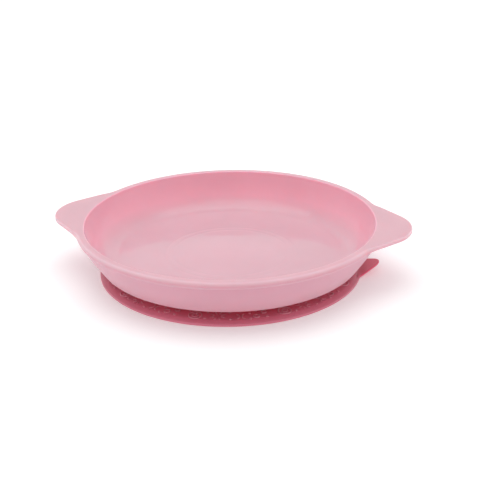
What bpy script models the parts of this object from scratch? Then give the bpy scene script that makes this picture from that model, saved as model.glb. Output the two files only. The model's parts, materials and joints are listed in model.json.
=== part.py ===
"""A silicone suction bowl: a wide, shallow two-handled bowl plugged into a suction base.

The origin is on the table under the middle of the bowl, +Z is up and the handles lie along X.
Sizes are in millimetres: radii from the vertical axis, heights from the table. MM turns them
into Blender's metres where a shape is made.

The base is one moulding. It is modelled as the zones that move against each other: a flange that
stands on the table, a neck that folds, a hub that carries the bowl, and a tab that is pulled up.
"""

import math

import bpy
from mathutils import Matrix, Vector

MM = 0.001
GAP = 0.3
STEPS = 80
CHORD_ERROR = 0.06

# Bowl: rim, wall and floor
RIM_TOP = 32.3
RIM_INNER_R = 87.5
RIM_OUTER_R = 92.5
RIM_DEPTH = 3.3
RIM_INNER_ROUND = 0.9
RIM_OUTER_ROUND = 1.4
RIM_LOWER_ROUND = 0.9
WALL_TOP_R = 91.0
WALL_FOOT_R = 78.3
INNER_WALL_FOOT_R = 78.0
FLOOR_FILLET = 15.0
FLOOR_THICKNESS = 2.6
UNDERSIDE = 8.4
LOWER_EDGE_ROUND = 3.0

# Foot ring under the floor, which plugs into the hub
FOOT_R = 40.0
FOOT_THICKNESS = 3.5
FOOT_BOTTOM = 4.6
FOOT_ROUND = 0.6
BEAD_DEPTH = 0.5
BEAD_HEIGHT = 1.2
BEAD_TOP = FOOT_BOTTOM + 1.8
BEAD_ROUND = 0.2

# Handles, almost flush with the rim
HANDLE_TIP_X = 109.2
HANDLE_TIP_ROUND = 27.0
HANDLE_FLANK = math.radians(47)
HANDLE_FILLET = 28.0
HANDLE_THICKNESS = 3.0
HANDLE_EDGE = 1.0
HANDLE_ROOT_R = 90.0
HANDLE_DROP = 0.05

# Flange of the suction base
FLANGE_R = 79.9
FLANGE_TOP = 2.3
FLANGE_INNER_TOP = 3.1
FLANGE_SLOPE_R = 66.0
FLANGE_THICKNESS = 1.7
FLANGE_INNER_R = 45.1
FLANGE_EDGE_ROUND = 1.1
FLANGE_CROWN_ROUND = 8.0
SEAL_INNER_R = 74.5
SEAL_STEP_R = 73.0
SEAL_STEP = 0.8
SEAL_OUTER_ROUND = 0.7
INNER_EDGE_ROUND = 0.3

# Neck, the thin wall that folds
NECK_INNER_R = FLANGE_INNER_R
NECK_THICKNESS = 1.5
NECK_BOTTOM = FLANGE_INNER_TOP + GAP
NECK_TOP = 6.6

# Hub, the plate and collar round the foot ring
HUB_R = 44.6
HUB_BOTTOM = 2.6
HUB_PLATE_TOP = FOOT_BOTTOM - GAP
COLLAR_INNER_R = FOOT_R + BEAD_DEPTH + GAP
COLLAR_TOP = UNDERSIDE - GAP
COLLAR_LIP_R = 47.0
COLLAR_LIP_BOTTOM = NECK_TOP + GAP
COLLAR_ROUND = 0.4
HUB_LOWER_ROUND = 0.8

# Release tab
TAB_AZIMUTH = math.radians(5.5)
TAB_TILT = math.radians(22)
TAB_HINGE_R = 80.2
TAB_HINGE_Z = 1.55
TAB_ROOT_R = 80.4
TAB_TIP_R = 91.2
TAB_TIP_ROUND = 7.3
TAB_FLANK = math.radians(41)
TAB_THICKNESS = 1.3
TAB_EDGE = 0.45

LIGHT_PINK = (0.745, 0.402, 0.479)
LIGHT_ROUGHNESS = 0.35
DEEP_PINK = (0.445, 0.075, 0.125)
DEEP_ROUGHNESS = 0.45


def clear_scene():
    for obj in list(bpy.data.objects):
        bpy.data.objects.remove(obj, do_unlink=True)


def collection(name):
    group = bpy.data.collections.new(name)
    bpy.context.scene.collection.children.link(group)
    return group


def silicone(name, colour, roughness):
    material = bpy.data.materials.new(name)
    material.use_nodes = True
    shader = material.node_tree.nodes["Principled BSDF"]
    shader.inputs["Base Color"].default_value = (*colour, 1.0)
    shader.inputs["Roughness"].default_value = roughness
    shader.inputs["Metallic"].default_value = 0.0
    material.diffuse_color = (*colour, 1.0)
    return material


def arc(centre, radius, start, turn):
    """Points along an arc, from the angle start through turn, both in radians."""
    widest = 2 * math.acos(1 - min(CHORD_ERROR / radius, 0.5))
    count = math.ceil(abs(turn) / widest)
    angles = [start + turn * k / count for k in range(count + 1)]
    return [(centre[0] + radius * math.cos(a), centre[1] + radius * math.sin(a)) for a in angles]


def rounded(corners, closed=False):
    """The points of a line through (r, z, rounding radius) corners, with each one rounded."""
    points = []
    for k, (r, z, radius) in enumerate(corners):
        is_end = not closed and k in (0, len(corners) - 1)
        if is_end or radius == 0:
            points.append((r, z))
            continue
        corner = Vector((r, z))
        back = (Vector(corners[k - 1][:2]) - corner).normalized()
        ahead = (Vector(corners[(k + 1) % len(corners)][:2]) - corner).normalized()
        half = back.angle(ahead) / 2
        centre = corner + (back + ahead).normalized() * radius / math.sin(half)
        first = corner + back * radius / math.tan(half) - centre
        side = math.copysign(1, ahead.x * back.y - ahead.y * back.x)
        points += arc(centre, radius, math.atan2(first.y, first.x), side * (math.pi - 2 * half))
    return points


def turned(name, profile, material, group, ring=False):
    """A solid turned about Z. Its profile runs out along the top and back along the bottom."""
    edges = [(k, k + 1) for k in range(len(profile) - 1)]
    if ring:
        edges.append((len(profile) - 1, 0))
    mesh = bpy.data.meshes.new(name)
    mesh.from_pydata([(r * MM, 0, z * MM) for r, z in profile], edges, [])
    mesh.materials.append(material)
    obj = bpy.data.objects.new(name, mesh)
    group.objects.link(obj)
    screw = obj.modifiers.new("Turn", "SCREW")
    screw.steps = STEPS
    screw.render_steps = STEPS
    screw.use_merge_vertices = True
    screw.merge_threshold = 0.00001
    screw.use_smooth_shade = True
    return obj


def plate(name, outline, thickness, edge, material, group):
    """A flat solid with rounded edges, from an outline in XY, with its mid-plane at z = 0."""
    curve = bpy.data.curves.new(name, "CURVE")
    curve.dimensions = "2D"
    curve.fill_mode = "BOTH"
    curve.bevel_depth = edge * MM
    curve.bevel_resolution = 2
    curve.extrude = (thickness / 2 - edge) * MM
    curve.offset = -edge * MM
    spline = curve.splines.new("POLY")
    spline.points.add(len(outline) - 1)
    for point, (x, y) in zip(spline.points, outline):
        point.co = (x * MM, y * MM, 0, 1)
    spline.use_cyclic_u = True
    sketch = bpy.data.objects.new(name, curve)
    group.objects.link(sketch)
    bpy.context.view_layer.update()
    evaluated = sketch.evaluated_get(bpy.context.evaluated_depsgraph_get())
    mesh = bpy.data.meshes.new_from_object(evaluated)
    bpy.data.objects.remove(sketch, do_unlink=True)
    mesh.name = name
    mesh.materials.clear()
    mesh.materials.append(material)
    obj = bpy.data.objects.new(name, mesh)
    group.objects.link(obj)
    weld = obj.modifiers.new("Weld caps", "WELD")
    weld.merge_threshold = 0.00001
    return obj


def lobe(base_r, tip_x, tip_round, flank, fillet, root_r):
    """The outline of a rounded triangle that grows out of a circle of radius base_r along +X.

    An arc rounds its tip, straight flanks leave the tip at the angle flank to X, and a concave
    arc of radius fillet, if any, blends each flank into the circle. The outline closes along
    the radius root_r.
    """
    tip_centre = Vector((tip_x - tip_round, 0))
    outward = Vector((math.sin(flank), math.cos(flank)))
    along = Vector((-math.cos(flank), math.sin(flank)))
    reach = outward.dot(tip_centre) + tip_round + fillet
    slide = math.sqrt((base_r + fillet) ** 2 - reach ** 2)
    blend_centre = outward * reach - along * slide
    flank_end = math.atan2(-outward.y, -outward.x)
    blend_end = math.atan2(-blend_centre.y, -blend_centre.x)
    root_angle = math.atan2(blend_centre.y, blend_centre.x)
    side = arc(tip_centre, tip_round, 0, math.pi / 2 - flank)
    if fillet:
        side += arc(blend_centre, fillet, flank_end, blend_end - flank_end)
    root = arc((0, 0), root_r, root_angle, -2 * root_angle)
    mirrored = [(x, -y) for x, y in reversed(side[1:])]
    return side + root + mirrored


def bowl_profile():
    rim_bottom = RIM_TOP - RIM_DEPTH
    floor_top = UNDERSIDE + FLOOR_THICKNESS
    return rounded([
        (0, floor_top, 0),
        (INNER_WALL_FOOT_R, floor_top, FLOOR_FILLET),
        (RIM_INNER_R, RIM_TOP, RIM_INNER_ROUND),
        (RIM_OUTER_R, RIM_TOP, RIM_OUTER_ROUND),
        (RIM_OUTER_R, rim_bottom, RIM_LOWER_ROUND),
        (WALL_TOP_R, rim_bottom, 0),
        (WALL_FOOT_R, UNDERSIDE, LOWER_EDGE_ROUND),
        (FOOT_R, UNDERSIDE, FOOT_ROUND),
        (FOOT_R, BEAD_TOP, 0),
        (FOOT_R + BEAD_DEPTH, FOOT_BOTTOM + BEAD_HEIGHT, BEAD_ROUND),
        (FOOT_R, FOOT_BOTTOM, BEAD_ROUND),
        (FOOT_R - FOOT_THICKNESS, FOOT_BOTTOM, FOOT_ROUND),
        (FOOT_R - FOOT_THICKNESS, UNDERSIDE, FOOT_ROUND),
        (0, UNDERSIDE, 0),
    ])


def make_bowl(material, group, tools):
    bowl = turned("bowl", bowl_profile(), material, group)
    outline = lobe(RIM_OUTER_R, HANDLE_TIP_X, HANDLE_TIP_ROUND, HANDLE_FLANK, HANDLE_FILLET,
                   HANDLE_ROOT_R)
    for side, turn in (("right", 0), ("left", math.pi)):
        handle = plate(f"{side}_handle_tool", outline, HANDLE_THICKNESS, HANDLE_EDGE, material,
                       tools)
        handle.location.z = (RIM_TOP - HANDLE_DROP - HANDLE_THICKNESS / 2) * MM
        handle.rotation_euler.z = turn
        handle.hide_render = True
        handle.display_type = "WIRE"
        join = bowl.modifiers.new(f"Join {side} handle", "BOOLEAN")
        join.operation = "UNION"
        join.solver = "EXACT"
        join.object = handle
    return bowl


def make_flange(material, group):
    return turned("suction_flange", rounded([
        (FLANGE_INNER_R, FLANGE_INNER_TOP, INNER_EDGE_ROUND),
        (FLANGE_SLOPE_R, FLANGE_INNER_TOP, FLANGE_CROWN_ROUND),
        (FLANGE_R, FLANGE_TOP, FLANGE_EDGE_ROUND),
        (FLANGE_R, 0, SEAL_OUTER_ROUND),
        (SEAL_INNER_R, 0, INNER_EDGE_ROUND),
        (SEAL_STEP_R, SEAL_STEP, FLANGE_EDGE_ROUND),
        (FLANGE_SLOPE_R, FLANGE_INNER_TOP - FLANGE_THICKNESS, FLANGE_CROWN_ROUND),
        (FLANGE_INNER_R, FLANGE_INNER_TOP - FLANGE_THICKNESS, INNER_EDGE_ROUND),
    ], closed=True), material, group, ring=True)


def make_neck(material, group):
    outer_r = NECK_INNER_R + NECK_THICKNESS
    return turned("cup_neck", [
        (NECK_INNER_R, NECK_TOP),
        (outer_r, NECK_TOP),
        (outer_r, NECK_BOTTOM),
        (NECK_INNER_R, NECK_BOTTOM),
    ], material, group, ring=True)


def make_hub(material, group):
    return turned("cup_hub", rounded([
        (0, HUB_PLATE_TOP, 0),
        (COLLAR_INNER_R, HUB_PLATE_TOP, COLLAR_ROUND),
        (COLLAR_INNER_R, COLLAR_TOP, COLLAR_ROUND),
        (COLLAR_LIP_R, COLLAR_TOP, COLLAR_ROUND),
        (COLLAR_LIP_R, COLLAR_LIP_BOTTOM, COLLAR_ROUND),
        (HUB_R, COLLAR_LIP_BOTTOM, 0),
        (HUB_R, HUB_BOTTOM, HUB_LOWER_ROUND),
        (0, HUB_BOTTOM, 0),
    ]), material, group)


def make_tab(material, group):
    outline = lobe(TAB_ROOT_R, TAB_TIP_R, TAB_TIP_ROUND, TAB_FLANK, 0, TAB_ROOT_R)
    outline = [(x - TAB_HINGE_R, y) for x, y in outline]
    tab = plate("release_tab", outline, TAB_THICKNESS, TAB_EDGE, material, group)
    tab.location = Matrix.Rotation(TAB_AZIMUTH, 3, "Z") @ Vector((TAB_HINGE_R * MM, 0, 0))
    tab.location.z = TAB_HINGE_Z * MM
    tab.rotation_euler = (0, -TAB_TILT, TAB_AZIMUTH)
    return tab


def main():
    clear_scene()
    parts = collection("suction_bowl")
    tools = collection("cutters")
    light = silicone("bowl_silicone", LIGHT_PINK, LIGHT_ROUGHNESS)
    deep = silicone("base_silicone", DEEP_PINK, DEEP_ROUGHNESS)
    make_bowl(light, parts, tools)
    make_flange(deep, parts)
    make_neck(deep, parts)
    make_hub(deep, parts)
    make_tab(deep, parts)


main()
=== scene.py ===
"""Looks of the suction bowl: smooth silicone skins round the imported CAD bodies, light and camera.

Sizes are in millimetres, radii from the vertical axis and heights from the table, as in the CAD
model; MM turns them into metres where a mesh is made. Heights and radii that the frame knows are
read from it. Names that end in STEPS are numbers of divisions.
"""

import json
import math

import bmesh
import bpy
from mathutils import Matrix, Vector


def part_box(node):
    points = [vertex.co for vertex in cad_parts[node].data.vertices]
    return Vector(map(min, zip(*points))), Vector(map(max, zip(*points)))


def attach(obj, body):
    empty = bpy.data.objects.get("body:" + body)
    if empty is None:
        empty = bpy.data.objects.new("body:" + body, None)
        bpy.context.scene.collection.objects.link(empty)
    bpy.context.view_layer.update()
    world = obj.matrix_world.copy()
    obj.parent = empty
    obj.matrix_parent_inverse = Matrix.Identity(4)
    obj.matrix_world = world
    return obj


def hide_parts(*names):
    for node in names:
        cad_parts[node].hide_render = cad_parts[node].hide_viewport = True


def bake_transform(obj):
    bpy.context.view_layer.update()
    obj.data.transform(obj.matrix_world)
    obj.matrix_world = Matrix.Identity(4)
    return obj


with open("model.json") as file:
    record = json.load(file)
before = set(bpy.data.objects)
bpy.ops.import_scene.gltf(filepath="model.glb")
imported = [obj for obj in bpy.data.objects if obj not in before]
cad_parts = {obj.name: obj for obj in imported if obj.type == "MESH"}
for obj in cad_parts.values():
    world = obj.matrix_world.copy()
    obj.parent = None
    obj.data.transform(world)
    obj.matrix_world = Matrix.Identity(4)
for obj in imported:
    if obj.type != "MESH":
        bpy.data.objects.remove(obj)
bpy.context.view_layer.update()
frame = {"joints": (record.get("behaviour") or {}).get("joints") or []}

MM = 0.001
UP = Vector((0, 0, 1))


def node_box(node):
    """A CAD node's lowest and highest corners in millimetres."""
    low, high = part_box(node)
    return low / MM, high / MM


BOWL_LOW, BOWL_HIGH = node_box("bowl")
FLANGE_HIGH = node_box("suction_flange")[1]
HUB_LOW, HUB_HIGH = node_box("cup_hub")
NECK_HIGH = node_box("cup_neck")[1]
JOINTS = {joint["name"]: joint for joint in frame["joints"]}

# Rim and handles
RIM_TOP = BOWL_HIGH.z
RIM_OUTER_R = BOWL_HIGH.y
RIM_INNER_R = 87.5
RIM_DEPTH = 3.2
RIM_INNER_ROUND = 0.9
RIM_OUTER_ROUND = 1.8
RIM_LOWER_ROUND = 0.7
RIM_FLAT_STEPS = 8
RIM_ROUND_STEPS = 8
RIM_LOWER_STEPS = 6
RIM_UNDER_STEPS = 6
HANDLE_TIP_X = BOWL_HIGH.x
HANDLE_TIP_ROUND = 27.0
HANDLE_FLANK = math.radians(47)
HANDLE_FILLET = 28.0
HANDLE_THICKNESS = 2.7
HANDLE_ROUND = 0.8
HANDLE_FADE = 3.0

# Outer wall, underside and foot ring
GROOVE_R = 91.75
GROOVE_DROP = 0.1
GROOVE_LAP = 0.05
BEAD_R = 92.05
BEAD_DROP = 0.45
BEAD_FOOT = 1.1
WALL_TOP_R = 91.4
WALL_FOOT_R = 79.0
WALL_BULGE = 0.5
WALL_BULGE_ROUND = 60
UNDERSIDE = 8.4
LOWER_EDGE_ROUND = 2.4
FOOT_R = 40.0
FOOT_THICKNESS = 3.5
FOOT_BOTTOM = BOWL_LOW.z
FOOT_BEAD = 0.5
FOOT_BEAD_RISE = 1.2
FOOT_BEAD_END = 1.8
UNDERSIDE_DIMPLE = [(8, 0.0), (5, 0.25), (0, 0.3)]

# Floor and inner wall. The controls of the wall's curve are (radius, height over the floor).
FLOOR_EDGE_R = 67.5
FLOOR_TOP = 10.0
FLOOR_CROWN = 1.2
FLOOR_CROWN_R = 56.0
FLOOR_RIDGE_R = 37.6
FLOOR_RIDGE_WIDTH = 2.8
FLOOR_RIDGE_GAP = 4.3
FLOOR_RIDGE_HEIGHT = 0.08
FLOOR_RIDGE_STEPS = 24
FLOOR_RADII_WITHIN = [0, 3, *range(6, 31, 4)]
FLOOR_RADII_BEYOND = [*range(46, 63, 4)]
INNER_WALL_CONTROLS = [(77.0, 0.0), (84.3, 7.5)]
INNER_WALL_STEPS = 28

# Gloss of the inner wall against the floor's, and the height over which it fades
WALL_POLISH = 0.65
POLISH_FADE = 8.0

# Painted light and shade as factors on the bowl's colour. Inside, by the height over the floor, a
# painted glow for light that passes through the wall. Outside, by the depth below the rim's top,
# painted highlights and painted shade, with the upper outer wall painted darker and the lower
# lighter.
INSIDE_GLOW_TINTS = [(0.0, (1.0, 1.07, 1.06)), (4.0, (1.11, 1.08, 1.1)), (8.0, (1.2, 1.12, 1.17))]
# Painted highlights on the rounded edges of rim and handles and on the bead, painted shade under
# the lip, under the bead and on the upper outer wall, and the lower outer wall painted lighter
# against the base's shadow
OUTSIDE_HIGHLIGHT_AND_SHADE_TINTS = [
    (0.0, (0.98, 1.03, 1.02)),
    (0.2, (1.08, 1.3, 1.26)),
    (0.5, (1.08, 1.32, 1.27)),
    (1.2, (1.02, 1.15, 1.12)),
    (2.5, (0.97, 0.9, 0.93)),
    (3.1, (0.92, 0.8, 0.85)),
    (3.5, (1.05, 1.22, 1.18)),
    (4.1, (0.92, 0.82, 0.88)),
    (11.5, (0.94, 0.87, 0.92)),
    (27.7, (1.03, 0.99, 1.0)),
]

# Suction base
FLANGE_R = FLANGE_HIGH.x
FLANGE_CREST = FLANGE_HIGH.z
FLANGE_CREST_R = 66.0
FLANGE_CREST_ROUND = 10.0
FLANGE_EDGE_TOP = 2.3
FLANGE_EDGE_ROUND = 0.9
FLANGE_SHOULDER_R = 76.5
FLANGE_THICKNESS = 1.7
FLANGE_INNER_R = 45.1
SEAL_INNER_R = 74.5
SEAL_RAMP = 1.5
SEAL_RAMP_TOP = 0.8
HUB_R = 44.6
HUB_SHOULDER = NECK_HIGH.z + 0.3
HUB_PLATE_TOP = 4.3
COLLAR_LIP_R = HUB_HIGH.x
COLLAR_INNER_R = 40.8
HUB_GROOVE_R = 24.0
HUB_GROOVE_DEPTH = 0.5
NECK_INNER_R = FLANGE_INNER_R
NECK_OUTER_R = NECK_HIGH.x
NECK_PLAY = 0.1
NECK_BULGE = 0.5
NECK_BOTTOM = FLANGE_CREST - 0.15
NECK_TOP = NECK_HIGH.z + 0.45
NECK_STEPS = 16

# Factors on the base's colour. The plain factor is the base's own colour. The others paint light:
# painted shade where the bowl overhangs the flange, a milder painted shade on hub and neck, and a
# painted sheen on the flange's outer edge. The flange's go by radius.
BASE_TINT = (1.13, 0.96, 1.09)
PAINTED_SHADE_TINT = (1.3, 0.64, 0.83)
HUB_PAINTED_SHADE_TINT = (1.16, 0.84, 0.98)
EDGE_SHEEN_TINT = (1.02, 1.35, 1.33)
FLANGE_COLOUR_SHADE_AND_SHEEN_TINTS = [(50.0, HUB_PAINTED_SHADE_TINT), (66.0, PAINTED_SHADE_TINT), (74.0, BASE_TINT), (79.9, EDGE_SHEEN_TINT)]

# Release tab
TAB_HINGE = Vector(JOINTS["release_tab_flex"]["pos_m"]) / MM
TAB_HINGE_R = TAB_HINGE.to_2d().length
TAB_AZIMUTH = math.atan2(TAB_HINGE.y, TAB_HINGE.x)
TAB_TILT = math.radians(22)
TAB_TIP_R = 90.7
TAB_TIP_ROUND = 7.3
TAB_FLANK = math.radians(41)
TAB_FILLET = 5.0
TAB_ROOT_R = 77.6
TAB_ROOT_END = TAB_ROOT_R - 0.4
TAB_ROOT_Z = 1.25
TAB_BEND = 1.6
TAB_ROOT_THICKNESS = 1.5
TAB_TIP_THICKNESS = 1.15
TAB_TIP_STEPS = 24
TAB_FLANK_STEPS = 10
TAB_FILLET_STEPS = 8
TAB_WIDTH_STEPS = 24

# Columns of vertices round each turned skin
COLUMNS = 360


# ---------------------------------------------------------------- profiles and meshes

def arc(centre, radius, start, turn, step=math.radians(12)):
    """Points along an arc, from the angle start through turn."""
    count = max(2, math.ceil(abs(turn) / step))
    angles = [start + turn * k / count for k in range(count + 1)]
    return [(centre[0] + radius * math.cos(a), centre[1] + radius * math.sin(a)) for a in angles]


def rounded(corners, closed=False):
    """The points of a line through (r, z, rounding radius) corners, with each one rounded."""
    points = []
    for k, (r, z, radius) in enumerate(corners):
        is_end = not closed and k in (0, len(corners) - 1)
        if is_end or radius == 0:
            points.append((r, z))
            continue
        corner = Vector((r, z))
        back = (Vector(corners[k - 1][:2]) - corner).normalized()
        ahead = (Vector(corners[(k + 1) % len(corners)][:2]) - corner).normalized()
        half = back.angle(ahead) / 2
        centre = corner + (back + ahead).normalized() * radius / math.sin(half)
        first = corner + back * radius / math.tan(half) - centre
        side = math.copysign(1, ahead.x * back.y - ahead.y * back.x)
        points += arc(centre, radius, math.atan2(first.y, first.x), side * (math.pi - 2 * half))
    return points


def subdivided(points, longest):
    """The same line with its long runs divided, so that no step is over longest."""
    result = [points[0]]
    for start, end in zip(points, points[1:]):
        count = max(1, math.ceil(math.dist(start, end) / longest))
        for k in range(1, count + 1):
            t = k / count
            result.append((start[0] + (end[0] - start[0]) * t, start[1] + (end[1] - start[1]) * t))
    return result


def bezier(start, first, second, end, count):
    """Points along a cubic Bezier curve, both ends included."""
    points = []
    for k in range(count + 1):
        t = k / count
        weights = ((1 - t) ** 3, 3 * t * (1 - t) ** 2, 3 * t * t * (1 - t), t ** 3)
        points.append(tuple(sum(w * p[axis] for w, p in zip(weights, (start, first, second, end)))
                            for axis in (0, 1)))
    return points


def smoothstep(t):
    """Eases from 0 to 1 as t goes from 0 to 1, and stays there outside."""
    t = min(max(t, 0.0), 1.0)
    return t * t * (3 - 2 * t)


def column_angles():
    """The angle of each column of a turned skin."""
    return [2 * math.pi * k / COLUMNS for k in range(COLUMNS)]


def circle_ring(r, z):
    """A ring of points at radius r and height z, or one point on the axis."""
    if r == 0:
        return [Vector((0, 0, z))]
    return [Vector((r * math.cos(a), r * math.sin(a), z)) for a in column_angles()]


def finish_mesh(bm, name, material):
    """Turns a bmesh in millimetres into a smooth-shaded object in metres."""
    bmesh.ops.scale(bm, vec=(MM, MM, MM), verts=bm.verts)
    bmesh.ops.recalc_face_normals(bm, faces=bm.faces)
    mesh = bpy.data.meshes.new(name)
    bm.to_mesh(mesh)
    bm.free()
    mesh.shade_smooth()
    mesh.materials.append(material)
    obj = bpy.data.objects.new(name, mesh)
    bpy.context.scene.collection.objects.link(obj)
    return obj


def bridge(bm, upper, lower):
    """Faces between two closed rings of vertices, either of which may be a single point."""
    count = max(len(upper), len(lower))
    for k in range(count):
        ahead = (k + 1) % count
        if len(upper) == 1:
            bm.faces.new((upper[0], lower[k], lower[ahead]))
        elif len(lower) == 1:
            bm.faces.new((upper[k], lower[0], upper[ahead]))
        else:
            bm.faces.new((upper[k], lower[k], lower[ahead], upper[ahead]))


def skin(name, rings, material, closed=False):
    """A solid whose surface runs through the rings in order."""
    bm = bmesh.new()
    rows = [[bm.verts.new(point) for point in ring] for ring in rings]
    for upper, lower in zip(rows, rows[1:]):
        bridge(bm, upper, lower)
    if closed:
        bridge(bm, rows[-1], rows[0])
    return finish_mesh(bm, name, material)


def turned(name, profile, material, closed=False):
    """A solid of revolution from a profile of (r, z) points."""
    return skin(name, [circle_ring(r, z) for r, z in profile], material, closed)


def tint_at(stops, place):
    """The colour factor at a place along a list of (place, factor) stops."""
    for (low, first), (high, second) in zip(stops, stops[1:]):
        if place < high:
            t = max(0, (place - low) / (high - low))
            return [a + (b - a) * t for a, b in zip(first, second)]
    return stops[-1][1]


def set_tints(obj, tints):
    """A point attribute that the material multiplies its colour by."""
    values = [value for tint in tints for value in (*tint, 1.0)]
    obj.data.attributes.new("tint", "FLOAT_COLOR", "POINT").data.foreach_set("color", values)


# ---------------------------------------------------------------- bowl

class Lobe:
    """A rounded triangle that grows out of a circle along +X, as a polar curve.

    An arc rounds its tip, a straight flank leaves the tip at the angle flank to X, and a concave
    arc blends the flank into the circle.
    """

    def __init__(self, base_r, tip_x, tip_round, flank, fillet):
        self.base_r = base_r
        self.tip_centre = tip_x - tip_round
        self.tip_round = tip_round
        self.fillet = fillet
        self.outward = Vector((math.sin(flank), math.cos(flank)))
        along = Vector((-math.cos(flank), math.sin(flank)))
        self.flank_reach = self.outward.x * self.tip_centre + tip_round
        reach = self.flank_reach + fillet
        slide = math.sqrt((base_r + fillet) ** 2 - reach ** 2)
        self.blend_centre = self.outward * reach - along * slide
        tip_end = Vector((self.tip_centre, 0)) + self.outward * tip_round
        flank_end = self.blend_centre - self.outward * fillet
        self.tip_end_angle = math.atan2(tip_end.y, tip_end.x)
        self.flank_end_angle = math.atan2(flank_end.y, flank_end.x)
        self.blend_end_angle = math.atan2(self.blend_centre.y, self.blend_centre.x)

    def edge(self, angle):
        """The outline's point and outward normal on the ray at this angle, up to 90 degrees."""
        ray = Vector((math.cos(angle), math.sin(angle)))
        if angle > self.blend_end_angle:
            return ray * self.base_r, ray
        if angle > self.flank_end_angle:
            along = self.blend_centre.dot(ray)
            across = self.blend_centre.length_squared - along ** 2
            point = ray * (along - math.sqrt(self.fillet ** 2 - across))
            return point, (self.blend_centre - point).normalized()
        if angle > self.tip_end_angle:
            return ray * (self.flank_reach / ray.dot(self.outward)), self.outward
        along = self.tip_centre * ray.x
        across = self.tip_centre * ray.y
        point = ray * (along + math.sqrt(self.tip_round ** 2 - across ** 2))
        return point, (point - Vector((self.tip_centre, 0))).normalized()


def rim_outline():
    """The outline of rim and handles: a point and an outward normal for each column."""
    lobe = Lobe(RIM_OUTER_R, HANDLE_TIP_X, HANDLE_TIP_ROUND, HANDLE_FLANK, HANDLE_FILLET)
    outline = []
    for angle in column_angles():
        quarter = math.atan2(abs(math.sin(angle)), abs(math.cos(angle)))
        point, normal = lobe.edge(quarter)
        signs = Vector((math.copysign(1, math.cos(angle)), math.copysign(1, math.sin(angle))))
        outline.append((point * signs, normal * signs))
    return outline


def inset_ring(outline, insets, heights):
    """A ring inside the outline, with an inset and a height for each column."""
    return [(point - normal * inset).to_3d() + UP * z
            for (point, normal), inset, z in zip(outline, insets, heights)]


def between_rings(start, end, count):
    """The count - 1 rings that lie evenly between two rings."""
    return [[a.lerp(b, k / count) for a, b in zip(start, end)] for k in range(1, count)]


def floor_profile():
    """The bowl's floor: a gentle crown, with two low ridges over the foot ring."""
    half = FLOOR_RIDGE_WIDTH / 2
    reach = (FLOOR_RIDGE_GAP + FLOOR_RIDGE_WIDTH) / 2
    ridge_radii = [FLOOR_RIDGE_R + reach * (2 * k / FLOOR_RIDGE_STEPS - 1)
                   for k in range(FLOOR_RIDGE_STEPS + 1)]
    profile = []
    for r in FLOOR_RADII_WITHIN + ridge_radii + FLOOR_RADII_BEYOND:
        t = min(abs(abs(r - FLOOR_RIDGE_R) - FLOOR_RIDGE_GAP / 2) / half, 1)
        crown = FLOOR_CROWN * (1 - smoothstep(r / FLOOR_CROWN_R))
        profile.append((r, FLOOR_TOP + crown + FLOOR_RIDGE_HEIGHT * (1 - t * t) ** 2))
    return profile


def inner_wall_profile():
    """From the edge of the floor up the inner wall, ever steeper, to the flat of the rim."""
    controls = [(r, FLOOR_TOP + rise) for r, rise in INNER_WALL_CONTROLS]
    wall_top = (RIM_INNER_R, RIM_TOP - RIM_INNER_ROUND)
    wall = bezier((FLOOR_EDGE_R, FLOOR_TOP), *controls, wall_top, INNER_WALL_STEPS)
    round_centre = (RIM_INNER_R + RIM_INNER_ROUND, RIM_TOP - RIM_INNER_ROUND)
    return wall + arc(round_centre, RIM_INNER_ROUND, math.pi, -math.pi / 2)[1:]


def outer_profile():
    """From under the rim down the outer wall, along the underside and round the foot ring."""
    rim_bottom = RIM_TOP - RIM_DEPTH
    wall_top = rim_bottom - BEAD_FOOT
    wall_middle = (WALL_TOP_R + WALL_FOOT_R) / 2 + WALL_BULGE
    return subdivided(rounded([
        (GROOVE_R, rim_bottom - GROOVE_DROP, 0),
        (BEAD_R, rim_bottom - BEAD_DROP, 0.15),
        (BEAD_R - 0.1, rim_bottom - BEAD_DROP - 0.25, 0.1),
        (WALL_TOP_R, wall_top, 0.5),
        (wall_middle, (wall_top + UNDERSIDE) / 2, WALL_BULGE_ROUND),
        (WALL_FOOT_R, UNDERSIDE, LOWER_EDGE_ROUND),
        (FOOT_R, UNDERSIDE, 1.0),
        (FOOT_R, FOOT_BOTTOM + FOOT_BEAD_END, 0),
        (FOOT_R + FOOT_BEAD, FOOT_BOTTOM + FOOT_BEAD_RISE, 0.3),
        (FOOT_R, FOOT_BOTTOM, 0.3),
        (FOOT_R - FOOT_THICKNESS, FOOT_BOTTOM, 0.8),
        (FOOT_R - FOOT_THICKNESS, UNDERSIDE, 1.0),
        *[(r, UNDERSIDE + rise, 0) for r, rise in UNDERSIDE_DIMPLE],
    ]), 3.0)


def quarter_turn(steps):
    """Angles from 0 to 90 degrees."""
    return [math.pi / 2 * k / steps for k in range(steps + 1)]


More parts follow.
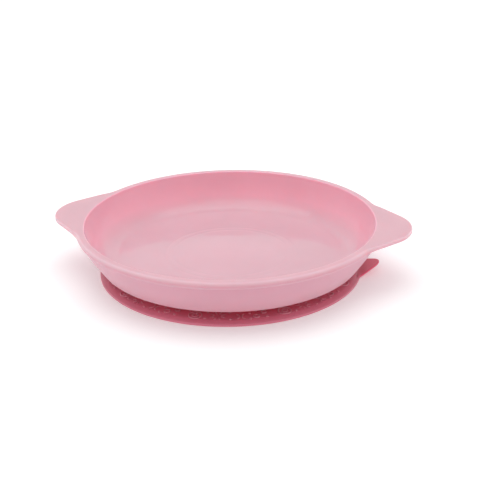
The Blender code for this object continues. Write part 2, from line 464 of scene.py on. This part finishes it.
def rim_rings(outline):
    """The flat of the rim and handles, their rounded edge, and the underside up to the wall."""
    shares = [smoothstep((point.length - RIM_OUTER_R) / HANDLE_FADE) for point, _ in outline]
    rounds = [RIM_OUTER_ROUND + (HANDLE_ROUND - RIM_OUTER_ROUND) * share for share in shares]
    depths = [RIM_DEPTH + (HANDLE_THICKNESS - RIM_DEPTH) * share for share in shares]
    flat_start = circle_ring(RIM_INNER_R + RIM_INNER_ROUND, RIM_TOP)
    flat_end = inset_ring(outline, rounds, [RIM_TOP] * COLUMNS)
    rings = between_rings(flat_start, flat_end, RIM_FLAT_STEPS)
    for angle in quarter_turn(RIM_ROUND_STEPS):
        insets = [r * (1 - math.sin(angle)) for r in rounds]
        heights = [RIM_TOP - r * (1 - math.cos(angle)) for r in rounds]
        rings.append(inset_ring(outline, insets, heights))
    for angle in quarter_turn(RIM_LOWER_STEPS):
        insets = [RIM_LOWER_ROUND * (1 - math.cos(angle))] * COLUMNS
        rise = RIM_LOWER_ROUND * (1 - math.sin(angle))
        rings.append(inset_ring(outline, insets, [RIM_TOP - d + rise for d in depths]))
    under_end = circle_ring(GROOVE_R + GROOVE_LAP, RIM_TOP - RIM_DEPTH)
    return rings + between_rings(rings[-1], under_end, RIM_UNDER_STEPS) + [under_end]


def mark_bowl(obj, inside_rings):
    """Point attributes: polish is 1 on the floor, less up the inner wall and 0 outside, and tint is
    a factor on the colour.

    The tint paints light and shade. Inside, a painted glow stronger up the inner wall, for
    light that passes through it. Outside, painted highlights on the rounded edges of rim and
    handles and on the bead, painted shade under the lip and the bead and on the upper outer wall,
    and the lower outer wall painted lighter against the base's shadow.
    """
    # The first ring is a single vertex on the axis.
    first_outside = 1 + (inside_rings - 1) * COLUMNS
    polish, tints = [], []
    for k, vertex in enumerate(obj.data.vertices):
        z = vertex.co.z / MM
        if k < first_outside:
            polish.append(1 + (WALL_POLISH - 1) * smoothstep((z - FLOOR_TOP) / POLISH_FADE))
            tints.append(tint_at(INSIDE_GLOW_TINTS, z - FLOOR_TOP))
        else:
            polish.append(0.0)
            tints.append(tint_at(OUTSIDE_HIGHLIGHT_AND_SHADE_TINTS, RIM_TOP - z))
    obj.data.attributes.new("polish", "FLOAT", "POINT").data.foreach_set("value", polish)
    set_tints(obj, tints)


def make_bowl(material):
    """The bowl with its rim, handles and foot ring, as one skin from the floor's middle out and
    round to the underside's."""
    inside = floor_profile() + inner_wall_profile()
    rings = [circle_ring(r, z) for r, z in inside]
    rings += rim_rings(rim_outline())
    rings += [circle_ring(r, z) for r, z in outer_profile()]
    bowl = skin("bowl_skin", rings, material)
    # The top of the inner rounding takes the rim's tint.
    mark_bowl(bowl, len(inside) - 2)
    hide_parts("bowl")
    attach(bowl, "bowl")
    return bowl


# ---------------------------------------------------------------- suction base

def flange_top(r):
    """Height of the flange's top surface at a radius, away from its rounded edge."""
    slope = (FLANGE_EDGE_TOP - FLANGE_CREST) / (FLANGE_R - FLANGE_CREST_R)
    return FLANGE_CREST + slope * max(0, r - FLANGE_CREST_R)


def make_flange(material):
    """The wide sloping disc that grips the table with the band under its edge."""
    under = FLANGE_CREST - FLANGE_THICKNESS
    profile = rounded([
        (FLANGE_INNER_R, FLANGE_CREST, 0.2),
        (FLANGE_CREST_R, FLANGE_CREST, FLANGE_CREST_ROUND),
        (FLANGE_SHOULDER_R, flange_top(FLANGE_SHOULDER_R), 6.0),
        (FLANGE_R, FLANGE_EDGE_TOP - FLANGE_EDGE_ROUND, FLANGE_EDGE_ROUND),
        (FLANGE_R, 0, 0.5),
        (SEAL_INNER_R, 0, 0.4),
        (SEAL_INNER_R - SEAL_RAMP, SEAL_RAMP_TOP, 1.0),
        (FLANGE_CREST_R, under, FLANGE_CREST_ROUND),
        (FLANGE_INNER_R, under, 0.2),
    ], closed=True)
    flange = turned("suction_flange_skin", subdivided(profile, 2.5), material, closed=True)
    # Painted shade under the bowl's overhang and a painted sheen on the outer edge, by radius
    set_tints(flange, [tint_at(FLANGE_COLOUR_SHADE_AND_SHEEN_TINTS, v.co.xy.length / MM) for v in flange.data.vertices])
    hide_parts("suction_flange")
    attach(flange, "suction_flange")
    return flange


def make_neck(material):
    """The thin wall between flange and hub, which on the real cup folds when it is pressed."""
    steps = range(NECK_STEPS + 1)
    heights = [NECK_TOP + (NECK_BOTTOM - NECK_TOP) * k / NECK_STEPS for k in steps]
    swell = [NECK_BULGE * math.sin(math.pi * k / NECK_STEPS) for k in steps]
    outer = [(NECK_OUTER_R + s, z) for s, z in zip(swell, heights)]
    inner = [(NECK_INNER_R + s + NECK_PLAY, z) for s, z in zip(swell, heights)]
    neck = turned("cup_neck_skin", outer + inner[::-1], material, closed=True)
    # A milder painted shade on the neck
    set_tints(neck, [HUB_PAINTED_SHADE_TINT] * len(neck.data.vertices))
    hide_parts("cup_neck")
    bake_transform(neck)
    return neck


def make_hub(material):
    """The round plate and collar that the foot ring plugs into, grooved underneath."""
    profile = rounded([
        (0, HUB_PLATE_TOP, 0),
        (COLLAR_INNER_R, HUB_PLATE_TOP, 0.5),
        (COLLAR_INNER_R, HUB_HIGH.z, 0.6),
        (COLLAR_LIP_R, HUB_HIGH.z, 0.6),
        (COLLAR_LIP_R, HUB_SHOULDER, 0.3),
        (HUB_R, HUB_SHOULDER, 0.2),
        (HUB_R, HUB_LOW.z, 1.2),
        (HUB_GROOVE_R + 2, HUB_LOW.z, 0.5),
        (HUB_GROOVE_R + 1, HUB_LOW.z + HUB_GROOVE_DEPTH, 0.4),
        (HUB_GROOVE_R - 1, HUB_LOW.z + HUB_GROOVE_DEPTH, 0.4),
        (HUB_GROOVE_R - 2, HUB_LOW.z, 0.5),
        (0, HUB_LOW.z, 0),
    ])
    hub = turned("cup_hub_skin", subdivided(profile, 4.0), material)
    # A milder painted shade on the hub
    set_tints(hub, [HUB_PAINTED_SHADE_TINT] * len(hub.data.vertices))
    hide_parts("cup_hub")
    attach(hub, "cup_hub")
    return hub


# ---------------------------------------------------------------- raised pattern

PATTERN_R = 71.8
PATTERN_SECTORS = 9
LINE_WIDTH = 0.8
LINE_HEIGHT = 0.45
LINE_END = 0.55
DOT_R = 0.75
DOT_HEIGHT = LINE_HEIGHT * 1.15
DOT_SIDES = 14
SINK = 0.15

# Sections as (share of the width or radius, share of the height). -1 is the sunk foot.
LINE_SECTION = [(-0.5, -1), (-0.42, 0.35), (-0.2, 0.92), (0.2, 0.92), (0.42, 0.35), (0.5, -1)]
DOT_SECTION = [(1.0, -1), (0.92, 0.4), (0.65, 0.85), (0.3, 0.98)]

# Shares of a burst's radius that its rays run through, and the directions that an arc runs through
RAY_SHARES = (0.45, 0.6, 0.8, 1.0)
ARC_TURNS = [math.radians(degrees) for degrees in range(-70, 71, 14)]

# Places in one sector: millimetres across and outward, and for a ring its radius
RING_PLACES = [(14.6, 1.8, 1.6), (19.5, -1.6, 1.4)]
DOT_PLACES = [
    (-13.2, 3.6), (-12.6, -2.8), (0.4, 4.0), (0.0, -3.4), (6.0, -4.4),
    (11.0, 4.2), (11.4, -1.6), (15.2, -3.6), (20.0, 3.6), (-23.6, -3.4),
]


def on_flange(azimuth, across, outward, lift):
    """A point of the pattern: across and outward are millimetres from PATTERN_R at azimuth."""
    r = PATTERN_R + outward
    angle = azimuth + across / PATTERN_R
    return Vector((r * math.cos(angle), r * math.sin(angle), flange_top(r) + lift))


def raised_line(bm, azimuth, path, closed=False):
    """A raised line along a path of (across, outward) points."""
    points = [on_flange(azimuth, a, o, 0) for a, o in path]
    sections = []
    for k, point in enumerate(points):
        before = points[k - 1] if closed or k > 0 else point
        after = points[(k + 1) % len(points)] if closed or k < len(points) - 1 else point
        side = UP.cross(after - before).normalized()
        is_end = not closed and k in (0, len(points) - 1)
        size = LINE_END if is_end else 1.0
        section = []
        for x, h in LINE_SECTION:
            lift = -SINK if h < 0 else LINE_HEIGHT * h * size
            section.append(bm.verts.new(point + side * x * LINE_WIDTH * size + UP * lift))
        sections.append(section)
    for start, end in zip(sections, sections[1:]):
        bridge(bm, start, end)
    if closed:
        bridge(bm, sections[-1], sections[0])
    else:
        bm.faces.new(sections[0])
        bm.faces.new(sections[-1])


def dot(bm, azimuth, across, outward):
    """A raised round dot."""
    turns = [2 * math.pi * k / DOT_SIDES for k in range(DOT_SIDES)]
    rings = []
    for reach, height in DOT_SECTION:
        lift = -SINK if height < 0 else DOT_HEIGHT * height
        rings.append([bm.verts.new(on_flange(azimuth, across + DOT_R * reach * math.cos(t),
                                             outward + DOT_R * reach * math.sin(t), lift))
                      for t in turns])
    bm.faces.new(rings[0])
    for lower, upper in zip(rings, rings[1:]):
        bridge(bm, lower, upper)
    bm.faces.new(rings[-1])


def raised_ring(bm, azimuth, across, outward, radius, sides=20):
    """A raised line round a circle."""
    turns = [2 * math.pi * k / sides for k in range(sides)]
    path = [(across + radius * math.cos(t), outward + radius * math.sin(t)) for t in turns]
    raised_line(bm, azimuth, path, closed=True)


def double_ring(bm, azimuth, across, outward, size):
    """A ring in a ring."""
    raised_ring(bm, azimuth, across, outward, size, 32)
    raised_ring(bm, azimuth, across, outward, size * 0.45)


def burst(bm, azimuth, across, outward, size, rays=8):
    """Short rays round an empty middle."""
    for k in range(rays):
        angle = 2 * math.pi * (k + 0.5) / rays
        path = [(across + size * t * math.cos(angle), outward + size * t * math.sin(angle))
                for t in RAY_SHARES]
        raised_line(bm, azimuth, path)


def arc_pair(bm, azimuth, across, outward, size):
    """Two arcs back to back."""
    for side in (-1, 1):
        centre = across + side * size * 0.9
        path = [(centre - side * size * 0.7 * math.cos(t), outward + size * 0.8 * math.sin(t))
                for t in ARC_TURNS]
        raised_line(bm, azimuth, path)


def make_pattern(material):
    """A raised band of plain rings, rays, arcs and dots on the flange."""
    bm = bmesh.new()
    sector = 2 * math.pi / PATTERN_SECTORS
    for k in range(PATTERN_SECTORS):
        azimuth = k * sector
        double_ring(bm, azimuth, -19, 1.0, 3.6)
        burst(bm, azimuth, -6.5, 0.4, 4.4)
        arc_pair(bm, azimuth, 6.0, 1.2, 3.4)
        for across, outward, radius in RING_PLACES:
            raised_ring(bm, azimuth, across, outward, radius)
        for across, outward in DOT_PLACES:
            dot(bm, azimuth, across, outward)
    pattern = finish_mesh(bm, "flange_pattern", material)
    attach(pattern, "suction_flange")
    return pattern


# ---------------------------------------------------------------- release tab

def tab_half_outline():
    """Half of the tab's outline, as (distance from the axis, half width), tip to root."""
    lobe = Lobe(FLANGE_R, TAB_TIP_R, TAB_TIP_ROUND, TAB_FLANK, TAB_FILLET)
    points = []
    for k in range(TAB_TIP_STEPS + 1):
        turn = (math.pi / 2 - TAB_FLANK) * k / TAB_TIP_STEPS
        points.append((lobe.tip_centre + TAB_TIP_ROUND * math.cos(turn),
                       TAB_TIP_ROUND * math.sin(turn)))
    flank_start = Vector(points[-1])
    flank_end = lobe.blend_centre - lobe.outward * TAB_FILLET
    for k in range(1, TAB_FLANK_STEPS + 1):
        points.append(tuple(flank_start.lerp(flank_end, k / TAB_FLANK_STEPS)))
    for k in range(1, TAB_FILLET_STEPS + 1):
        angle = (lobe.flank_end_angle
                 + (lobe.blend_end_angle - lobe.flank_end_angle) * k / TAB_FILLET_STEPS)
        points.append(tuple(lobe.edge(angle)[0]))
    root_half = points[-1][1]
    return points + [(TAB_ROOT_R, root_half), (TAB_ROOT_END, root_half)]


def distance_to(outline, u, v):
    """Shortest distance in the tab's plane from (u, v) to the line through the outline."""
    spot = Vector((u, abs(v)))
    best = math.inf
    for start, end in zip(outline, outline[1:]):
        a = Vector(start)
        run = Vector(end) - a
        t = min(max((spot - a).dot(run) / max(run.length_squared, 1e-9), 0), 1)
        best = min(best, (spot - a - run * t).length)
    return best


def tab_middle(u):
    """Height of the tab's middle surface: level inside the flange, then rising at its tilt."""
    slope = math.tan(TAB_TILT)
    bend_start = TAB_HINGE_R - TAB_BEND + (TAB_ROOT_Z - TAB_HINGE.z) / slope
    t = min(max((u - bend_start) / (2 * TAB_BEND), 0), 1)
    return TAB_ROOT_Z + slope * (TAB_BEND * t * t + max(0, u - bend_start - 2 * TAB_BEND))


def make_tab(material):
    """A thin tongue that rises from the flange's edge and bends at its root."""
    outline = tab_half_outline()
    edge_line = outline[:-2]
    bm = bmesh.new()
    rows = []
    for u, half_width in outline:
        upper, lower = [], []
        reach = (u - TAB_ROOT_R) / (TAB_TIP_R - TAB_ROOT_R)
        full = TAB_ROOT_THICKNESS + (TAB_TIP_THICKNESS - TAB_ROOT_THICKNESS) * reach
        middle = tab_middle(u)
        for k in range(TAB_WIDTH_STEPS + 1):
            v = -half_width * math.cos(math.pi * k / TAB_WIDTH_STEPS)
            depth = min(distance_to(edge_line, u, v) / (full / 2), 1)
            half = full / 2 * math.sqrt(1 - (1 - depth) ** 2)
            spot = Matrix.Rotation(TAB_AZIMUTH, 3, "Z") @ Vector((u, v, 0))
            upper.append(bm.verts.new(spot + UP * (middle + half)))
            lower.append(bm.verts.new(spot + UP * (middle - half)))
        rows.append((upper, lower))
    for (upper, lower), (next_upper, next_lower) in zip(rows, rows[1:]):
        for k in range(TAB_WIDTH_STEPS):
            bm.faces.new((upper[k], upper[k + 1], next_upper[k + 1], next_upper[k]))
            bm.faces.new((lower[k], next_lower[k], next_lower[k + 1], lower[k + 1]))
    upper, lower = rows[-1]
    for k in range(TAB_WIDTH_STEPS):
        bm.faces.new((upper[k], upper[k + 1], lower[k + 1], lower[k]))
    bmesh.ops.remove_doubles(bm, verts=bm.verts, dist=0.002)
    bmesh.ops.dissolve_degenerate(bm, edges=bm.edges, dist=0.0005)
    tab = finish_mesh(bm, "release_tab_skin", material)
    set_tints(tab, [BASE_TINT] * len(tab.data.vertices))
    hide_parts("release_tab")
    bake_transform(tab)
    return tab


# ---------------------------------------------------------------- materials

# Texture scales are per metre. Roughness is a (low, high) pair.
CLOUDINESS = 0.05
CLOUD_SCALE = 28
GLOSS_SCALE = 60
GRAIN_SCALE = 2600
GRAIN_STRENGTH = 0.25
GRAIN_HEIGHT = 0.00004
POLISHED_GRAIN_STRENGTH = 0.01
SATIN_ROUGHNESS = (0.36, 0.46)
POLISHED_ROUGHNESS = (0.02, 0.035)
SILICONE_IOR = 1.42
SCATTER_RADIUS = (1.0, 0.5, 0.55)
SCATTER_SCALE = 0.003


def add_node(tree, kind, **settings):
    """A new shader node with some of its properties set."""
    node = tree.nodes.new(kind)
    for name, value in settings.items():
        setattr(node, name, value)
    return node


def noise(tree, coordinates, scale, detail):
    """A cloudy pattern, mostly between 0.3 and 0.7."""
    node = add_node(tree, "ShaderNodeTexNoise")
    node.inputs["Scale"].default_value = scale
    node.inputs["Detail"].default_value = detail
    tree.links.new(coordinates, node.inputs["Vector"])
    return node.outputs["Fac"]


def remap(tree, value, low, high, from_low=0.3, from_high=0.7):
    """The value, stretched so that from_low gives low and from_high gives high."""
    node = add_node(tree, "ShaderNodeMapRange")
    node.inputs["From Min"].default_value = from_low
    node.inputs["From Max"].default_value = from_high
    node.inputs["To Min"].default_value = low
    node.inputs["To Max"].default_value = high
    tree.links.new(value, node.inputs["Value"])
    return node.outputs["Result"]


def socket(sockets, name, kind):
    """The socket of this name and kind, of a node that has one for every kind."""
    return next(s for s in sockets if s.name == name and s.type == kind)


def mix_colour(tree, factor, first, second):
    """Between two plain colours by a factor."""
    node = add_node(tree, "ShaderNodeMix", data_type="RGBA")
    tree.links.new(factor, socket(node.inputs, "Factor", "VALUE"))
    socket(node.inputs, "A", "RGBA").default_value = (*first, 1)
    socket(node.inputs, "B", "RGBA").default_value = (*second, 1)
    return socket(node.outputs, "Result", "RGBA")


def times_tint(tree, colour):
    """The colour times the mesh's tint attribute."""
    tint = add_node(tree, "ShaderNodeAttribute", attribute_name="tint").outputs["Color"]
    node = add_node(tree, "ShaderNodeMix", data_type="RGBA", blend_type="MULTIPLY")
    socket(node.inputs, "Factor", "VALUE").default_value = 1
    tree.links.new(colour, socket(node.inputs, "A", "RGBA"))
    tree.links.new(tint, socket(node.inputs, "B", "RGBA"))
    return socket(node.outputs, "Result", "RGBA")


def mix_value(tree, factor, first, second):
    """Between two values by a factor. The first may be a plain number."""
    node = add_node(tree, "ShaderNodeMix", data_type="FLOAT")
    tree.links.new(factor, socket(node.inputs, "Factor", "VALUE"))
    if isinstance(first, float):
        socket(node.inputs, "A", "VALUE").default_value = first
    else:
        tree.links.new(first, socket(node.inputs, "A", "VALUE"))
    tree.links.new(second, socket(node.inputs, "B", "VALUE"))
    return socket(node.outputs, "Result", "VALUE")


def silicone(name, colour, rough, subsurface, sheen, tinted=True):
    """Moulded silicone: a faint cloudiness in the colour, a satin skin with uneven gloss, and a
    fine powdery grain. rough is the low and high end of its roughness, and tinted brings in the
    mesh's tint attribute."""
    deeper = [channel * (1 - CLOUDINESS) for channel in colour]
    material = bpy.data.materials.new(name)
    material.use_nodes = True
    tree = material.node_tree
    shader = tree.nodes["Principled BSDF"]
    coordinates = add_node(tree, "ShaderNodeTexCoord").outputs["Object"]
    cloud = remap(tree, noise(tree, coordinates, CLOUD_SCALE, 3), 0, 1)
    base_colour = mix_colour(tree, cloud, colour, deeper)
    if tinted:
        base_colour = times_tint(tree, base_colour)
    tree.links.new(base_colour, shader.inputs["Base Color"])
    roughness = remap(tree, noise(tree, coordinates, GLOSS_SCALE, 4), *rough)
    tree.links.new(roughness, shader.inputs["Roughness"])
    bump = add_node(tree, "ShaderNodeBump")
    bump.inputs["Strength"].default_value = GRAIN_STRENGTH
    bump.inputs["Distance"].default_value = GRAIN_HEIGHT
    tree.links.new(noise(tree, coordinates, GRAIN_SCALE, 2), bump.inputs["Height"])
    tree.links.new(bump.outputs["Normal"], shader.inputs["Normal"])
    shader.inputs["IOR"].default_value = SILICONE_IOR
    shader.inputs["Subsurface Weight"].default_value = subsurface
    shader.inputs["Subsurface Radius"].default_value = SCATTER_RADIUS
    shader.inputs["Subsurface Scale"].default_value = SCATTER_SCALE
    shader.inputs["Sheen Weight"].default_value = sheen
    shader.inputs["Sheen Roughness"].default_value = 0.4
    return material


def bowl_silicone():
    """Light silicone, polished and tinted as the mesh's attributes say."""
    # The tint attribute carries the painted glow, painted highlights and painted shade.
    material = silicone("bowl_silicone", (0.75, 0.425, 0.49), SATIN_ROUGHNESS, 0.85, 0.12)
    tree = material.node_tree
    shader = tree.nodes["Principled BSDF"]
    satin = shader.inputs["Roughness"].links[0].from_socket
    gloss = remap(tree, satin, *POLISHED_ROUGHNESS, *SATIN_ROUGHNESS)
    polish = add_node(tree, "ShaderNodeAttribute", attribute_name="polish").outputs["Fac"]
    tree.links.new(mix_value(tree, polish, satin, gloss), shader.inputs["Roughness"])
    grain = remap(tree, polish, GRAIN_STRENGTH, POLISHED_GRAIN_STRENGTH, 0, 1)
    tree.links.new(grain, tree.nodes["Bump"].inputs["Strength"])
    return material


def base_silicone():
    # The tint attribute paints shade under the bowl and a sheen on the flange's edge.
    """The base's deeper silicone, tinted as the mesh's attribute says."""
    return silicone("base_silicone", (0.72, 0.16, 0.225), (0.38, 0.5), 0.2, 0.35)


def pattern_highlight_silicone():
    """The base's silicone where it stands proud, paler as a painted highlight on the raised
    pattern.
    """
    return silicone("painted_highlight_pattern_silicone", (0.84, 0.25, 0.32), (0.3, 0.4), 0.4, 0.3,
                    tinted=False)


# ---------------------------------------------------------------- stage, light and camera

# The camera's aim is to the right of and below the middle of the rim's top.
VIEW_DISTANCE = 620.0
VIEW_ELEVATION = math.radians(21.5)
VIEW_AZIMUTH = math.radians(10.9)
VIEW_ROLL = math.radians(-0.9)
VIEW_AIM_RIGHT = 5.9
VIEW_AIM_DOWN = 13.2
FOCAL_LENGTH = 76.8

# The surroundings' brightness at the front, at the back (reached at BACK_FROM along Y) and at the
# horizon, which fades out over the heights in HORIZON_BAND. Both are parts of a unit vector.
FRONT_LIGHT = 0.65
BACK_LIGHT = 0.83
BACK_FROM = 0.3
HORIZON_LIGHT = 1.0
HORIZON_BAND = (0.03, 0.2)

# The overhead light, in metres and watts
LIGHT_PLACE = (-0.1, 0.2, 1.3)
LIGHT_SIZE = 1.4
LIGHT_POWER = 6.5

# The scene's floor
STAGE_SIZE = 3000
STAGE_DROP = 0.05
STAGE_GREY = 0.9
STAGE_GLOW = 0.22


def clear_startup():
    """Removes the objects that a new file holds."""
    for name in ("Cube", "Light", "Camera"):
        obj = bpy.data.objects.get(name)
        if obj:
            bpy.data.objects.remove(obj, do_unlink=True)


def make_floor():
    """A plain pale floor under the whole scene, just below the base."""
    bm = bmesh.new()
    bmesh.ops.create_grid(bm, x_segments=1, y_segments=1, size=STAGE_SIZE)
    material = bpy.data.materials.new("floor_paint")
    material.use_nodes = True
    shader = material.node_tree.nodes["Principled BSDF"]
    shader.inputs["Base Color"].default_value = (STAGE_GREY, STAGE_GREY, STAGE_GREY, 1)
    shader.inputs["Roughness"].default_value = 0.8
    shader.inputs["Specular IOR Level"].default_value = 0.2
    shader.inputs["Emission Color"].default_value = (1, 1, 1, 1)
    shader.inputs["Emission Strength"].default_value = STAGE_GLOW
    floor = finish_mesh(bm, "floor", material)
    floor.location.z = -STAGE_DROP * MM


def make_surroundings():
    """White light from all round, brighter at the back and brightest at the horizon."""
    world = bpy.data.worlds.new("studio")
    world.use_nodes = True
    tree = world.node_tree
    background = tree.nodes["Background"]
    background.inputs["Color"].default_value = (1, 1, 1, 1)
    direction = add_node(tree, "ShaderNodeTexCoord").outputs["Generated"]
    split = add_node(tree, "ShaderNodeSeparateXYZ")
    tree.links.new(direction, split.inputs["Vector"])
    sky = remap(tree, split.outputs["Y"], FRONT_LIGHT, BACK_LIGHT, -1, BACK_FROM)
    above = remap(tree, split.outputs["Z"], 0, 1, *HORIZON_BAND)
    strength = mix_value(tree, above, HORIZON_LIGHT, sky)
    tree.links.new(strength, background.inputs["Strength"])
    bpy.context.scene.world = world


def make_overhead_light():
    """A wide soft light over the bowl, pointed at the middle of its base."""
    data = bpy.data.lights.new("overhead", "AREA")
    data.shape = "DISK"
    data.size = LIGHT_SIZE
    data.energy = LIGHT_POWER
    light = bpy.data.objects.new("overhead", data)
    light.location = LIGHT_PLACE
    light.rotation_euler = (-Vector(LIGHT_PLACE)).to_track_quat("-Z", "Y").to_euler()
    bpy.context.scene.collection.objects.link(light)


def make_camera():
    """A long lens in front of the bowl, a little above its rim, with a slight roll."""
    data = bpy.data.cameras.new("camera")
    data.lens = FOCAL_LENGTH
    camera = bpy.data.objects.new("camera", data)
    bpy.context.scene.collection.objects.link(camera)
    back = Vector((math.sin(VIEW_AZIMUTH) * math.cos(VIEW_ELEVATION),
                   -math.cos(VIEW_AZIMUTH) * math.cos(VIEW_ELEVATION),
                   math.sin(VIEW_ELEVATION)))
    right = UP.cross(back).normalized()
    top = back.cross(right)
    rim_centre = Vector((0, 0, RIM_TOP))
    position = rim_centre + back * VIEW_DISTANCE
    aim = rim_centre + right * VIEW_AIM_RIGHT - top * VIEW_AIM_DOWN
    look = (aim - position).to_track_quat("-Z", "Y")
    camera.location = position * MM
    camera.rotation_euler = (look @ Matrix.Rotation(VIEW_ROLL, 3, "Z").to_quaternion()).to_euler()
    bpy.context.scene.camera = camera


def main():
    """Builds the whole scene."""
    clear_startup()
    bpy.context.scene.view_settings.view_transform = "Standard"
    light_pink = bowl_silicone()
    deep_pink = base_silicone()
    make_bowl(light_pink)
    make_flange(deep_pink)
    make_pattern(pattern_highlight_silicone())
    make_neck(deep_pink)
    make_hub(deep_pink)
    make_tab(deep_pink)
    make_floor()
    make_surroundings()
    make_overhead_light()
    make_camera()


main()
